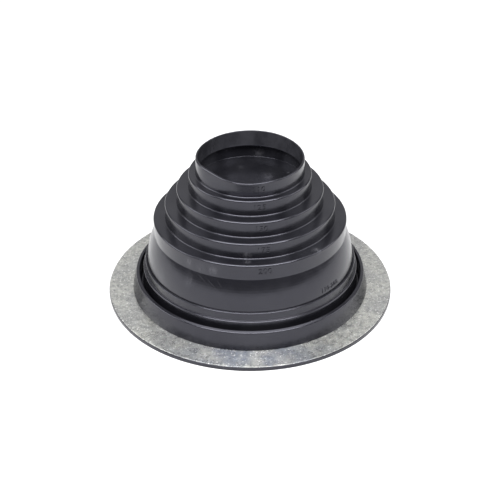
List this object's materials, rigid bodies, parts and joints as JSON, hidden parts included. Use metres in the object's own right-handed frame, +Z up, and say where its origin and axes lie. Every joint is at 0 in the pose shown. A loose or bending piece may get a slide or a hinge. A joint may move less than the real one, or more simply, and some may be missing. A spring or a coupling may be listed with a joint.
{
  "type": "pipe flashing boot",
  "caption": "Stepped rubber flashing boot on a round base flange with a soft metal ring, cut to suit a pipe that passes through a flat roof or membrane.",
  "frame": {"origin": "centre of the base opening, on the flat underside of the rubber flange", "axes": "+Z up the axis, the way the pipe leaves the boot"},
  "size_m": [0.301, 0.301, 0.154],
  "materials": {
    "epdm_rubber": "satin black moulded rubber",
    "soft_aluminium": "dull mottled soft sheet"
  },
  "bodies": {
    "root": {"rubber_boot": "epdm_rubber", "metal_flange": "soft_aluminium"}
  },
  "joints": []
}
